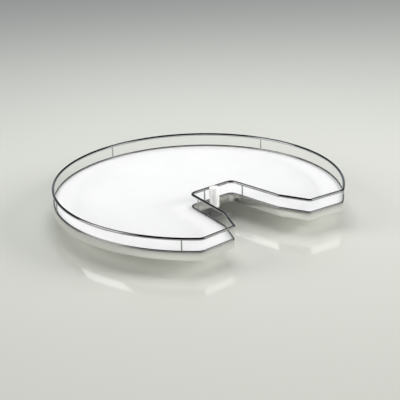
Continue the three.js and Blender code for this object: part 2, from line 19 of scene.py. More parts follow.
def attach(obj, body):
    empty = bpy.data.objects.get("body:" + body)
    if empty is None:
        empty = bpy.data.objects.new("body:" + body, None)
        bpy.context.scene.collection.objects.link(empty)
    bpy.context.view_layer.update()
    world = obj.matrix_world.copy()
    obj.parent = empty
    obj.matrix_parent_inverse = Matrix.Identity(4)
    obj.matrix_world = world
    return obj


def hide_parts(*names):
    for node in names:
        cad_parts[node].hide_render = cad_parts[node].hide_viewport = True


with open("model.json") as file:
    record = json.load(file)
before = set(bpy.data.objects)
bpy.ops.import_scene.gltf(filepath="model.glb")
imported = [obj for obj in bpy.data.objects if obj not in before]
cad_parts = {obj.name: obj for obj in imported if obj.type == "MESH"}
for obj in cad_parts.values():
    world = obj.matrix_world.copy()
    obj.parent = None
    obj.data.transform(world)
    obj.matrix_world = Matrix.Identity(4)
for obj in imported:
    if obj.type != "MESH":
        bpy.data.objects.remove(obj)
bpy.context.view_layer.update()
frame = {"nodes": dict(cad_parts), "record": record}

LOG = logging.getLogger("tray")

Pair = tuple[float, float]
Color = tuple[float, float, float]
Ring = list[Vector]

MILLIMETRE = 0.001
FULL_TURN = 2 * math.pi
CLEARANCE = 0.3        # between pieces that touch on the real tray
OVERCUT = 1.0          # how far a cutting shape reaches past what it cuts
CREASE = 32.0          # least angle of a crease, in degrees
ROUND_CREASE = 50.0    # the same on pieces with coarse round bends
WELD_REACH = 0.87      # how far out on a wire a post meets it, as a share of its radius
BEAD_RIPPLE = 0.1      # ripples of a weld bead, as a share of its thickness
BEAD_PITCH = 2.2       # how fast they follow each other, in radians for each ring

# Sockets of a colour mix node, which share their names with its other sockets
MIX_FACTOR, MIX_FIRST, MIX_SECOND, MIX_RESULT = 0, 6, 7, 2


class Body(Enum):
    """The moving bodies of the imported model."""

    BASE = "base"
    CAGE = "cage"
    TRAY = "tray"


class Texture(Enum):
    """How the fine relief of a finish is laid."""

    PEEL = "peel"
    GRAIN = "grain"
    TURNED = "turned"


# ---- Meshes --------------------------------------------------------------------------------------


def loft(rings: Sequence[Ring], wrap: bool = False) -> bmesh.types.BMesh:
    """Skins a run of closed rings with equal numbers of points.

    Args:
        rings: The rings in order, in millimetres.
        wrap: Joins the last ring to the first; otherwise both end rings are closed flat.

    Returns:
        The closed mesh.
    """
    mesh = bmesh.new()
    rows = [[mesh.verts.new(point) for point in ring] for ring in rings]
    pairs = list(zip(rows, rows[1:]))
    if wrap:
        pairs.append((rows[-1], rows[0]))
    for lower, upper in pairs:
        for i in range(len(lower)):
            j = (i + 1) % len(lower)
            mesh.faces.new((lower[i], lower[j], upper[j], upper[i]))
    if not wrap:
        mesh.faces.new(list(reversed(rows[0])))
        mesh.faces.new(rows[-1])
    bmesh.ops.recalc_face_normals(mesh, faces=mesh.faces)
    return mesh


def circle(radius: float, z: float, sides: int, centre: Pair = (0.0, 0.0)) -> Ring:
    """A level circle of points."""
    return [
        Vector((
            centre[0] + radius * math.cos(FULL_TURN * i / sides),
            centre[1] + radius * math.sin(FULL_TURN * i / sides),
            z,
        ))
        for i in range(sides)
    ]


def arc(centre: Pair, radius: float, start: float, end: float, steps: int) -> list[Pair]:
    """Points of a flat arc.

    Args:
        centre: The arc's centre.
        radius: Its radius.
        start: The angle of its first point, in degrees.
        end: The angle of its last point, in degrees.
        steps: How many chords it is cut into.

    Returns:
        The points, both ends included.
    """
    points = []
    for i in range(steps + 1):
        angle = math.radians(start + (end - start) * i / steps)
        points.append((centre[0] + radius * math.cos(angle), centre[1] + radius * math.sin(angle)))
    return points


def turned(profile: Sequence[Pair], sides: int, wrap: bool = False) -> bmesh.types.BMesh:
    """Turns a profile of (radius, height) points about the Z axis."""
    return loft([circle(radius, z, sides) for radius, z in profile], wrap)


def rod(radius: float, start: Vector, end: Vector, sides: int) -> bmesh.types.BMesh:
    """A round rod between two points.

    Args:
        radius: The rod's radius.
        start: The centre of its first end.
        end: The centre of its other end.
        sides: How many facets go round it.

    Returns:
        The closed mesh.
    """
    mesh = turned([(radius, 0.0), (radius, (end - start).length)], sides)
    turn = (end - start).to_track_quat("Z", "Y").to_matrix().to_4x4()
    mesh.transform(Matrix.Translation(start) @ turn)
    return mesh


def merged(meshes: Sequence[bmesh.types.BMesh]) -> bmesh.types.BMesh:
    """Puts closed shells that touch or overlap together in one mesh.

    Args:
        meshes: The shells, which are used up.

    Returns:
        The mesh that holds them all.
    """
    whole = bmesh.new()
    for mesh in meshes:
        data = bpy.data.meshes.new("shell")
        mesh.to_mesh(data)
        mesh.free()
        whole.from_mesh(data)
        bpy.data.meshes.remove(data)
    return whole


def carved(mesh: bmesh.types.BMesh, tools: Sequence[bmesh.types.BMesh]) -> bmesh.types.BMesh:
    """Cuts closed tools out of a closed mesh.

    Args:
        mesh: The body, which is used up.
        tools: The shapes to take away, which are used up.

    Returns:
        What is left of the body.
    """
    body = plain_object("carve_body", mesh)
    cutters = [plain_object("carve_tool", tool) for tool in tools]
    for cutter in cutters:
        modifier = body.modifiers.new("carve", "BOOLEAN")
        modifier.operation = "DIFFERENCE"
        modifier.solver = "EXACT"
        modifier.object = cutter
    graph = bpy.context.evaluated_depsgraph_get()
    data = bpy.data.meshes.new_from_object(body.evaluated_get(graph))
    left = bmesh.new()
    left.from_mesh(data)
    bpy.data.meshes.remove(data)
    for spent in [body, *cutters]:
        spent_data = spent.data
        bpy.data.objects.remove(spent)
        bpy.data.meshes.remove(spent_data)
    return left


def plain_object(name: str, mesh: bmesh.types.BMesh) -> bpy.types.Object:
    """Puts a mesh in the scene as it is.

    Args:
        name: The name of the object and of its data.
        mesh: The mesh, which is used up.

    Returns:
        The object that holds it.
    """
    data = bpy.data.meshes.new(name)
    mesh.to_mesh(data)
    mesh.free()
    holder = bpy.data.objects.new(name, data)
    bpy.context.scene.collection.objects.link(holder)
    return holder


def soften(mesh: bmesh.types.BMesh, crease: float = CREASE, widest: int = 8) -> None:
    """Shades a mesh smooth, apart from its creases and its broad flat faces.

    Args:
        mesh: The mesh to shade.
        crease: The least angle of a crease, in degrees.
        widest: The most corners of a face that is shaded smooth.
    """
    for face in mesh.faces:
        face.smooth = len(face.verts) <= widest
    for edge in mesh.edges:
        if len(edge.link_faces) == 2:
            edge.smooth = edge.calc_face_angle(0.0) < math.radians(crease)


class Piece(NamedTuple):
    """Where a dressed piece belongs."""

    name: str
    body: Body
    slot: str
    nodes: tuple[str, ...]
    place: Matrix = Matrix.Identity(4)


def mesh_data(name: str, mesh: bmesh.types.BMesh, look: bpy.types.Material,
              crease: float = CREASE) -> bpy.types.Mesh:
    """Makes shaded mesh data in metres.

    Args:
        name: The name of the data.
        mesh: The mesh in millimetres, which is used up.
        look: Its material.
        crease: The least angle of a crease, in degrees.

    Returns:
        The mesh data.
    """
    soften(mesh, crease)
    mesh.transform(Matrix.Scale(MILLIMETRE, 4))
    data = bpy.data.meshes.new(name)
    mesh.to_mesh(data)
    mesh.free()
    data.materials.append(look)
    return data


def add_piece(piece: Piece, data: bpy.types.Mesh) -> bpy.types.Object:
    """Places a piece, seats it on its body and has it stand for its CAD nodes.

    Args:
        piece: The piece's name, body, slot, nodes and place.
        data: Its mesh, in metres.

    Returns:
        The piece's object.
    """
    shown = bpy.data.objects.new(piece.name, data)
    bpy.context.scene.collection.objects.link(shown)
    shown.matrix_world = piece.place
    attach(shown, piece.body.value)
    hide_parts(*piece.nodes)
    LOG.info("%s rides on %s", piece.name, piece.body.value)
    return shown


# ---- Shared effects ------------------------------------------------------------------------------


class Effects:
    """Shader node groups that more than one finish uses. Each is built once."""

    def __init__(self) -> None:
        """Builds every group."""
        self.drift = self._drift()
        self.gloss = self._gloss()
        self.relief = {
            Texture.PEEL: self._peel(),
            Texture.GRAIN: self._grain(),
            Texture.TURNED: self._turned(),
        }

    @staticmethod
    def _group(
            name: str, inputs: Sequence[tuple[str, str, float | tuple]],
            outputs: Sequence[tuple[str, str]],
    ) -> tuple[bpy.types.NodeTree, bpy.types.Node, bpy.types.Node]:
        """Starts a node group.

        Args:
            name: The group's name.
            inputs: Name, socket type and default of each input.
            outputs: Name and socket type of each output.

        Returns:
            The group, its input node and its output node.
        """
        group = bpy.data.node_groups.new(name, "ShaderNodeTree")
        for label, kind, default in inputs:
            socket = group.interface.new_socket(label, in_out="INPUT", socket_type=kind)
            socket.default_value = default
        for label, kind in outputs:
            group.interface.new_socket(label, in_out="OUTPUT", socket_type=kind)
        return group, group.nodes.new("NodeGroupInput"), group.nodes.new("NodeGroupOutput")

    @staticmethod
    def _noise(group: bpy.types.NodeTree, detail: float) -> bpy.types.Node:
        """Adds a noise texture that lies still in the piece's own space.

        Args:
            group: The node group that it goes into.
            detail: How many finer layers it has.

        Returns:
            The noise node.
        """
        place = group.nodes.new("ShaderNodeTexCoord")
        noise = group.nodes.new("ShaderNodeTexNoise")
        noise.inputs["Detail"].default_value = detail
        group.links.new(place.outputs["Object"], noise.inputs["Vector"])
        return noise

    def _drift(self) -> bpy.types.NodeTree:
        """Lets a colour wander between two tones in broad soft patches.

        Returns:
            The node group.
        """
        group, given, out = self._group(
            "tone_drift",
            [("Tone", "NodeSocketColor", (0.8, 0.8, 0.8, 1)),
             ("Other Tone", "NodeSocketColor", (0.7, 0.7, 0.7, 1)),
             ("Scale", "NodeSocketFloat", 20.0)],
            [("Color", "NodeSocketColor")])
        noise = self._noise(group, 4.0)
        spread = group.nodes.new("ShaderNodeMapRange")
        spread.inputs["From Min"].default_value = 0.35
        spread.inputs["From Max"].default_value = 0.65
        mix = group.nodes.new("ShaderNodeMix")
        mix.data_type = "RGBA"
        link = group.links.new
        link(given.outputs["Scale"], noise.inputs["Scale"])
        link(noise.outputs["Fac"], spread.inputs["Value"])
        link(spread.outputs["Result"], mix.inputs[MIX_FACTOR])
        link(given.outputs["Tone"], mix.inputs[MIX_FIRST])
        link(given.outputs["Other Tone"], mix.inputs[MIX_SECOND])
        link(mix.outputs[MIX_RESULT], out.inputs["Color"])
        return group

    def _gloss(self) -> bpy.types.NodeTree:
        """Wipe marks: roughness that rises in streaky patches.

        Returns:
            The node group.
        """
        group, given, out = self._group(
            "wiped_gloss",
            [("Cleanest", "NodeSocketFloat", 0.1),
             ("Dullest", "NodeSocketFloat", 0.2),
             ("Scale", "NodeSocketFloat", 12.0)],
            [("Roughness", "NodeSocketFloat")])
        broad = self._noise(group, 3.0)
        broad.inputs["Distortion"].default_value = 1.2
        fine = self._noise(group, 2.0)
        finer = group.nodes.new("ShaderNodeMath")
        finer.operation = "MULTIPLY"
        finer.inputs[1].default_value = 9.0
        both = group.nodes.new("ShaderNodeMath")
        both.operation = "MULTIPLY"
        spread = group.nodes.new("ShaderNodeMapRange")
        spread.inputs["From Min"].default_value = 0.15
        spread.inputs["From Max"].default_value = 0.4
        link = group.links.new
        link(given.outputs["Scale"], broad.inputs["Scale"])
        link(given.outputs["Scale"], finer.inputs[0])
        link(finer.outputs[0], fine.inputs["Scale"])
        link(broad.outputs["Fac"], both.inputs[0])
        link(fine.outputs["Fac"], both.inputs[1])
        link(both.outputs[0], spread.inputs["Value"])
        link(given.outputs["Cleanest"], spread.inputs["To Min"])
        link(given.outputs["Dullest"], spread.inputs["To Max"])
        link(spread.outputs["Result"], out.inputs["Roughness"])
        return group

    def _peel(self) -> bpy.types.NodeTree:
        """The shallow round dimples of a pressed or coated face.

        Returns:
            The node group.
        """
        group, given, out = self._group(
            "peel_relief", [("Scale", "NodeSocketFloat", 600.0)], [("Height", "NodeSocketFloat")])
        place = group.nodes.new("ShaderNodeTexCoord")
        cells = group.nodes.new("ShaderNodeTexVoronoi")
        cells.feature = "SMOOTH_F1"
        cells.inputs["Smoothness"].default_value = 0.8
        link = group.links.new
        link(place.outputs["Object"], cells.inputs["Vector"])
        link(given.outputs["Scale"], cells.inputs["Scale"])
        link(cells.outputs["Distance"], out.inputs["Height"])
        return group

    def _grain(self) -> bpy.types.NodeTree:
        """Fine uneven grain, as a moulding or a casting takes from its tool.

        Returns:
            The node group.
        """
        group, given, out = self._group(
            "tool_grain", [("Scale", "NodeSocketFloat", 900.0)], [("Height", "NodeSocketFloat")])
        noise = self._noise(group, 5.0)
        noise.inputs["Roughness"].default_value = 0.65
        group.links.new(given.outputs["Scale"], noise.inputs["Scale"])
        group.links.new(noise.outputs["Fac"], out.inputs["Height"])
        return group

    def _turned(self) -> bpy.types.NodeTree:
        """Fine rings about the turning axis, as a lathe tool leaves them.

        Returns:
            The node group.
        """
        group, given, out = self._group(
            "turned_rings", [("Scale", "NodeSocketFloat", 2500.0)], [("Height", "NodeSocketFloat")])
        place = group.nodes.new("ShaderNodeTexCoord")
        waves = group.nodes.new("ShaderNodeTexWave")
        waves.wave_type = "RINGS"
        waves.rings_direction = "Z"
        waves.inputs["Distortion"].default_value = 0.6
        waves.inputs["Detail"].default_value = 1.0
        link = group.links.new
        link(place.outputs["Object"], waves.inputs["Vector"])
        link(given.outputs["Scale"], waves.inputs["Scale"])
        link(waves.outputs["Fac"], out.inputs["Height"])
        return group


# ---- Finishes ------------------------------------------------------------------------------------


@dataclass(frozen=True)
class Finish:
    """One finish: the constants of its shader, and how its tone, gloss and relief wander.

    Scales are in features per metre. The relief's depth is in metres.
    """

    name: str
    tone: Color
    other_tone: Color
    tone_scale: float
    cleanest: float
    dullest: float
    gloss_scale: float
    texture: Texture
    texture_scale: float
    texture_depth: float
    texture_strength: float
    metallic: float = 0.0
    ior: float = 1.5
    coat: float = 0.0
    coat_roughness: float = 0.05

    def material(self, effects: Effects) -> bpy.types.Material:
        """Builds the material.

        Args:
            effects: The shared node groups.

        Returns:
            The material of this finish.
        """
        material = bpy.data.materials.new(self.name)
        material.use_nodes = True
        tree = material.node_tree
        shader = tree.nodes["Principled BSDF"]
        shader.inputs["Metallic"].default_value = self.metallic
        shader.inputs["IOR"].default_value = self.ior
        shader.inputs["Coat Weight"].default_value = self.coat
        shader.inputs["Coat Roughness"].default_value = self.coat_roughness
        drift = self._placed(tree, effects.drift)
        drift.inputs["Tone"].default_value = (*self.tone, 1.0)
        drift.inputs["Other Tone"].default_value = (*self.other_tone, 1.0)
        drift.inputs["Scale"].default_value = self.tone_scale
        gloss = self._placed(tree, effects.gloss)
        gloss.inputs["Cleanest"].default_value = self.cleanest
        gloss.inputs["Dullest"].default_value = self.dullest
        gloss.inputs["Scale"].default_value = self.gloss_scale
        relief = self._placed(tree, effects.relief[self.texture])
        relief.inputs["Scale"].default_value = self.texture_scale
        bump = tree.nodes.new("ShaderNodeBump")
        bump.inputs["Strength"].default_value = self.texture_strength
        bump.inputs["Distance"].default_value = self.texture_depth
        tree.links.new(drift.outputs["Color"], shader.inputs["Base Color"])
        tree.links.new(gloss.outputs["Roughness"], shader.inputs["Roughness"])
        tree.links.new(relief.outputs["Height"], bump.inputs["Height"])
        tree.links.new(bump.outputs["Normal"], shader.inputs["Normal"])
        return material

    @staticmethod
    def _placed(tree: bpy.types.NodeTree, group: bpy.types.NodeTree) -> bpy.types.Node:
        """Places a shared group in a material.

        Args:
            tree: The material's node tree.
            group: The shared group.

        Returns:
            The node that holds the group.
        """
        node = tree.nodes.new("ShaderNodeGroup")
        node.node_tree = group
        return node


BOARD_WHITE = Finish(
    name="white_faced_board",
    tone=(0.93, 0.93, 0.925), other_tone=(0.905, 0.907, 0.905), tone_scale=9.0,
    cleanest=0.31, dullest=0.33, gloss_scale=7.0,
    texture=Texture.PEEL, texture_scale=420.0, texture_depth=0.00002, texture_strength=0.2)
POLISHED_BAND = Finish(
    name="polished_strip",
    tone=(0.87, 0.87, 0.86), other_tone=(0.83, 0.83, 0.82), tone_scale=14.0,
    cleanest=0.03, dullest=0.07, gloss_scale=16.0,
    texture=Texture.GRAIN, texture_scale=260.0, texture_depth=0.00002, texture_strength=0.12,
    metallic=1.0)
CHROME = Finish(
    name="polished_chrome",
    tone=(0.42, 0.425, 0.423), other_tone=(0.38, 0.385, 0.383), tone_scale=14.0,
    cleanest=0.02, dullest=0.05, gloss_scale=16.0,
    texture=Texture.GRAIN, texture_scale=260.0, texture_depth=0.00002, texture_strength=0.12,
    metallic=1.0)
MOULDED_WHITE = Finish(
    name="white_moulding",
    tone=(0.94, 0.94, 0.93), other_tone=(0.92, 0.92, 0.91), tone_scale=40.0,
    cleanest=0.24, dullest=0.34, gloss_scale=30.0,
    texture=Texture.GRAIN, texture_scale=2600.0, texture_depth=0.00003, texture_strength=0.4)
ZINC_PLATE = Finish(
    name="zinc_plate",
    tone=(0.62, 0.63, 0.65), other_tone=(0.50, 0.52, 0.56), tone_scale=120.0,
    cleanest=0.25, dullest=0.42, gloss_scale=90.0,
    texture=Texture.PEEL, texture_scale=1500.0, texture_depth=0.00003, texture_strength=0.3,
    metallic=1.0)
CAST_GREY = Finish(
    name="satin_casting",
    tone=(0.55, 0.56, 0.57), other_tone=(0.47, 0.48, 0.49), tone_scale=60.0,
    cleanest=0.38, dullest=0.52, gloss_scale=50.0,
    texture=Texture.GRAIN, texture_scale=1400.0, texture_depth=0.0001, texture_strength=0.55,
    metallic=0.9)
BEARING_STEEL = Finish(
    name="ground_steel",
    tone=(0.68, 0.69, 0.70), other_tone=(0.62, 0.63, 0.65), tone_scale=150.0,
    cleanest=0.14, dullest=0.24, gloss_scale=80.0,
    texture=Texture.TURNED, texture_scale=2500.0, texture_depth=0.00001, texture_strength=0.3,
    metallic=1.0)
CAGE_POLYMER = Finish(
    name="dark_moulding",
    tone=(0.05, 0.05, 0.055), other_tone=(0.035, 0.035, 0.04), tone_scale=80.0,
    cleanest=0.42, dullest=0.56, gloss_scale=60.0,
    texture=Texture.GRAIN, texture_scale=2200.0, texture_depth=0.00005, texture_strength=0.5)
PALE_PAINT = Finish(
    name="pale_powder_coat",
    tone=(0.78, 0.78, 0.76), other_tone=(0.74, 0.74, 0.72), tone_scale=50.0,
    cleanest=0.38, dullest=0.5, gloss_scale=40.0,
    texture=Texture.PEEL, texture_scale=1300.0, texture_depth=0.0001, texture_strength=0.6)


class Looks:
    """The materials of the part, one for each slot of its record."""

    def __init__(self, effects: Effects) -> None:
        """Builds each finish's material."""
        self.by_slot = {
            "board_white": BOARD_WHITE.material(effects),
            "polished_band": POLISHED_BAND.material(effects),
            "chrome": CHROME.material(effects),
            "moulded_white": MOULDED_WHITE.material(effects),
            "zinc_plate": ZINC_PLATE.material(effects),
            "cast_grey": CAST_GREY.material(effects),
            "bearing_steel": BEARING_STEEL.material(effects),
            "cage_polymer": CAGE_POLYMER.material(effects),
            "pale_paint": PALE_PAINT.material(effects),
        }

    def dress_frame(self) -> None:
        """Gives each CAD node the finish of its slot in the record."""
        slots = {row["node"]: row["material_slot"] for row in frame["record"]["subparts"]}
        for name, node in frame["nodes"].items():
            node.data.materials.clear()
            node.data.materials.append(self.by_slot[slots[name]])


# ---- Outline of the tray -------------------------------------------------------------------------


class Station(NamedTuple):
    """A point on the rail's centre line and the direction into the tray there."""

    x: float
    y: float
    inward_x: float
    inward_y: float

    def inset(self, distance: float) -> Pair:
        """The point a distance into the tray from this one."""
        return self.x + self.inward_x * distance, self.y + self.inward_y * distance

    def mirrored(self) -> "Station":
        """The same place on the tray's other side."""
        return Station(-self.x, self.y, -self.inward_x, self.inward_y)

    def matrix(self) -> Matrix:
        """Places a mesh in metres, drawn with +X into the tray from the rail line."""
        turn = Matrix.Rotation(math.atan2(self.inward_y, self.inward_x), 4, "Z")
        return Matrix.Translation((self.x * MILLIMETRE, self.y * MILLIMETRE, 0.0)) @ turn


@dataclass(frozen=True)
class Outline:
    """The ring of stations round the tray, anticlockwise seen from above.

    Lengths are in millimetres, and angles and steps in degrees.
    """

    rim_radius: float = 406.0
    front_setback: float = 94.3
    front_lean: float = 3.9
    slot_back_offset: float = 55.7
    slot_back_width: float = 147.2
    slot_side_angle: float = 7.5
    flare_angle: float = 24.8
    flare_depth: float = 84.6
    throat_radius: float = 18.0
    bend_radius: float = 22.0
    tip_radius: float = 9.0
    heel_radius: float = 24.0
    rim_step: float = 1.0
    fillet_step: float = 4.0

    @property
    def throat(self) -> Vector:
        """Right-hand sharp corner of the slot's back edge."""
        return Vector((self.slot_back_width / 2, -self.slot_back_offset))

    @property
    def bend(self) -> Vector:
        """Corner where the slot's right side turns out to its mouth."""
        y = self.tip_y + self.flare_depth
        lean = math.tan(math.radians(self.slot_side_angle))
        return Vector((self.throat.x + (self.throat.y - y) * lean, y))

    @property
    def tip_y(self) -> float:
        """How far forward the tips of the slot reach."""
        return self.front_setback - self.rim_radius

    @property
    def tip(self) -> Vector:
        """Right-hand sharp corner of the slot's mouth."""
        flare = math.tan(math.radians(self.flare_angle))
        return Vector((self.bend.x + self.flare_depth * flare, self.tip_y))

    @property
    def front(self) -> Vector:
        """Direction of the right-hand front edge, away from the slot."""
        lean = math.radians(self.front_lean)
        return Vector((math.cos(lean), -math.sin(lean)))

    @property
    def heel(self) -> Vector:
        """Centre of the rounding between the right-hand front edge and the circle."""
        start = self.tip + left_of(self.front) * self.heel_radius
        along = start.dot(self.front)
        reach = self.rim_radius - self.heel_radius
        run = -along + math.sqrt(along ** 2 - start.length_squared + reach ** 2)
        return start + self.front * run

    @property
    def heel_end(self) -> Vector:
        """Where the right-hand front edge ends and its rounding begins."""
        return self.heel - left_of(self.front) * self.heel_radius

    def stations(self) -> list[Station]:
        """Lays the whole ring, starting at the right-hand corner of the slot's back edge.

        Returns:
            The stations in order.
        """
        back = Vector((-self.throat.x, self.throat.y))
        rim_start = math.atan2(self.heel.y, self.heel.x)
        heel_start = math.atan2(-self.front.x, self.front.y)
        right = [
            *self._corner(back, self.throat, self.bend, self.throat_radius),
            *self._corner(self.throat, self.bend, self.tip, self.bend_radius),
            *self._corner(self.bend, self.tip, self.heel_end, self.tip_radius),
            *self._arc(self.heel, self.heel_radius, heel_start, rim_start - heel_start,
                       self.fillet_step, 1)[:-1],
            *self._arc(Vector((0.0, 0.0)), self.rim_radius, rim_start, math.pi / 2 - rim_start,
                       self.rim_step, 1),
        ]
        return right + [station.mirrored() for station in reversed(right[:-1])]

    @staticmethod
    def _arc(centre: Vector, radius: float, start: float, turn: float, step: float,
             side: float) -> list[Station]:
        """Stations along an arc.

        Args:
            centre: The arc's centre.
            radius: Its radius.
            start: The angle of its first point.
            turn: The angle it turns through.
            step: The most degrees between two stations.
            side: 1 where the centre is in the tray, -1 where it is in the slot.

        Returns:
            The stations, both ends included.
        """
        count = max(2, math.ceil(abs(math.degrees(turn)) / step))
        found = []
        for i in range(count + 1):
            angle = start + turn * i / count
            away = Vector((math.cos(angle), math.sin(angle)))
            point = centre + away * radius
            found.append(Station(point.x, point.y, -side * away.x, -side * away.y))
        return found

    def _corner(self, before: Vector, corner: Vector, after: Vector,
                radius: float) -> list[Station]:
        """Lays stations round the rounded corner between two straight edges.

        Args:
            before: The sharp corner before this one.
            corner: This sharp corner.
            after: The sharp corner after it.
            radius: The radius of the rounding.

        Returns:
            The stations, both ends of the rounding included.
        """
        arriving = (corner - before).normalized()
        leaving = (after - corner).normalized()
        cross = arriving.x * leaving.y - arriving.y * leaving.x
        turn = math.atan2(cross, arriving.dot(leaving))
        side = math.copysign(1.0, turn)
        away = left_of(arriving) * -side
        setback = radius * math.tan(abs(turn) / 2)
        centre = corner - arriving * setback - away * radius
        return self._arc(centre, radius, math.atan2(away.y, away.x), turn, self.fillet_step, side)

    def on_rim(self, angle: float) -> Station:
        """A place on the circle, by its angle in degrees from the slot's axis."""
        x, y = math.sin(math.radians(angle)), -math.cos(math.radians(angle))
        return Station(x * self.rim_radius, y * self.rim_radius, -x, -y)

    @staticmethod
    def on_edge(start: Vector, end: Vector, fraction: float) -> Station:
        """A place on a straight edge.

        Args:
            start: Where the edge starts.
            end: Where it ends.
            fraction: How far along it the place is.

        Returns:
            The place, with its direction into the tray.
        """
        point = start.lerp(end, fraction)
        inward = left_of((end - start).normalized())
        return Station(point.x, point.y, inward.x, inward.y)

    def carried_round(self, section: Sequence[Pair]) -> bmesh.types.BMesh:
        """Carries a closed section round the whole outline.

        Args:
            section: Its points, each as the inset and the height.

        Returns:
            The closed mesh.
        """
        stations = self.stations()
        rings = [[Vector((*station.inset(inset), z)) for station in stations]
                 for inset, z in section]
        return loft(rings, wrap=True)


def left_of(direction: Vector) -> Vector:
    """The direction to the left of a direction of travel."""
    return Vector((-direction.y, direction.x))


def both_sides(places: Sequence[Station]) -> list[Station]:
    """Each place, followed by its mirror image."""
    return [side for place in places for side in (place, place.mirrored())]


# ---- Board, band and gallery ---------------------------------------------------------------------


@dataclass(frozen=True)
class Wire:
    """A round wire bent to the outline: its thickness and where its centre runs."""

    radius: float
    inset: float
    z: float

    def flank(self, inset: float) -> float:
        """Half the wire's height over an inset, or near its side for an inset beyond it."""
        off = min(abs(inset - self.inset), WELD_REACH * self.radius)
        return math.sqrt(self.radius ** 2 - off ** 2)


@dataclass(frozen=True)
class TrayBody:
    """The board with the bright band round it, and the gallery of two wires and its posts.

    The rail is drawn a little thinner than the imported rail, to stay inside its facets.
    """

    outline: Outline = field(default_factory=Outline)
    board_bottom: float = 46.0
    board_top: float = 62.0
    board_inset: float = 0.8
    board_rounding: float = 2.5
    board_edge_steps: int = 6
    band_bottom: float = 40.0
    band_outer: float = -1.5
    band_inner: float = 0.5
    band_edge: float = 0.35
    band_edge_steps: int = 3
    rail: Wire = Wire(radius=3.93, inset=0.0, z=99.3)
    foot_rail: Wire = Wire(radius=2.0, inset=1.0, z=64.3)
    wire_sides: int = 24
    post_radius: float = 2.0
    post_sides: int = 24
    rim_post_angles: tuple[float, ...] = (45.6, 112.8)
    side_post_from_back: float = 40.0
    back_post_spacing: float = 46.4
    bead_radius: float = 0.6

    def post_places(self) -> list[Station]:
        """Finds where the posts stand.

        Returns:
            The places, in the order of the posts' CAD nodes.
        """
        line = self.outline
        back = Vector((-line.throat.x, line.throat.y))
        side_fraction = self.side_post_from_back / (line.throat.y - line.bend.y)
        back_fraction = 0.5 + self.back_post_spacing / (2 * line.slot_back_width)
        return [
            line.on_rim(180.0),
            *both_sides([line.on_rim(angle) for angle in self.rim_post_angles]),
            *both_sides([
                line.on_edge(line.throat, line.bend, side_fraction),
                line.on_edge(back, line.throat, back_fraction),
            ]),
        ]

    def board(self) -> bmesh.types.BMesh:
        """Builds the board, with small rounded edges.

        Returns:
            The board's mesh.
        """
        rounding = self.board_rounding
        corner = arc((self.board_inset + rounding, rounding), rounding, 270.0, 180.0,
                     self.board_edge_steps)
        profile = [(inset, self.board_bottom + rise) for inset, rise in corner]
        profile += [(inset, self.board_top - rise) for inset, rise in reversed(corner)]
        stations = self.outline.stations()
        return loft([[Vector((*station.inset(inset), z)) for station in stations]
                     for inset, z in profile])

    def band(self) -> bmesh.types.BMesh:
        """Builds the bright strip on edge, its four edges a little rounded.

        Returns:
            The band's mesh.
        """
        edge, steps = self.band_edge, self.band_edge_steps
        left, right = self.band_outer + edge, self.band_inner - edge
        low, high = self.band_bottom + edge, self.board_top - edge
        return self.outline.carried_round([
            *arc((left, low), edge, 180.0, 270.0, steps),
            *arc((right, low), edge, 270.0, 360.0, steps),
            *arc((right, high), edge, 0.0, 90.0, steps),
            *arc((left, high), edge, 90.0, 180.0, steps),
        ])

    def bent(self, wire: Wire) -> bmesh.types.BMesh:
        """A wire carried round the outline."""
        centre = (wire.inset, wire.z)
        return self.outline.carried_round(
            arc(centre, wire.radius, 0.0, 360.0, self.wire_sides)[:-1])

    def post(self) -> bmesh.types.BMesh:
        """Builds one upright, shaped to the wires at both ends, with its beads of weld.

        Returns:
            The post's mesh, drawn with +X into the tray.
        """
        sides = self.post_sides
        flat = circle(self.post_radius, 0.0, sides, (self.foot_rail.inset, 0.0))
        foot = [Vector((x, y, self.foot_rail.z + self.foot_rail.flank(x))) for x, y, _ in flat]
        head = [Vector((x, y, self.rail.z - self.rail.flank(x))) for x, y, _ in flat]
        mesh = bmesh.new()
        low = [mesh.verts.new(point) for point in foot]
        high = [mesh.verts.new(point) for point in head]
        for i in range(sides):
            j = (i + 1) % sides
            mesh.faces.new((low[i], low[j], high[j], high[i]))
        for end in (low, high):
            self._close(mesh, end)
        bmesh.ops.recalc_face_normals(mesh, faces=mesh.faces)
        inner = range(sides // 4 + 1, sides - sides // 4)
        seams = [[end[i % sides] for i in inner] for end in (foot, head)]
        return merged([mesh, *[bead(seam, self.bead_radius) for seam in seams]])

    @staticmethod
    def _close(mesh: bmesh.types.BMesh, end: Sequence[bmesh.types.BMVert]) -> None:
        """Closes the hollow end of a post with strips across it.

        Args:
            mesh: The post's mesh.
            end: The corners round its end, in order.
        """
        middle = len(end) // 2
        mesh.faces.new((end[0], end[1], end[-1]))
        for i in range(1, middle - 1):
            mesh.faces.new((end[i], end[i + 1], end[-i - 1], end[-i]))
        mesh.faces.new((end[middle - 1], end[middle], end[middle + 1]))

    def dress(self, looks: Looks) -> None:
        """Builds the board, band, wires and posts and seats them on the tray.

        Args:
            looks: The materials of the part.
        """
        for name, node, slot, mesh in (
                ("faced_board", "tray_board", "board_white", self.board()),
                ("bright_band", "edge_band", "polished_band", self.band()),
                ("gallery_rail", "top_rail", "chrome", self.bent(self.rail)),
                ("gallery_foot_rail", "foot_rail", "chrome", self.bent(self.foot_rail))):
            data = mesh_data(name, mesh, looks.by_slot[slot], ROUND_CREASE)
            add_piece(Piece(name, Body.TRAY, slot, (node,)), data)
        post = mesh_data("post", self.post(), looks.by_slot["chrome"], ROUND_CREASE)
        for i, place in enumerate(self.post_places(), start=1):
            piece = Piece(f"gallery_post_{i}", Body.TRAY, "chrome", (f"rail_post_{i}",),
                          place.matrix())
            add_piece(piece, post)


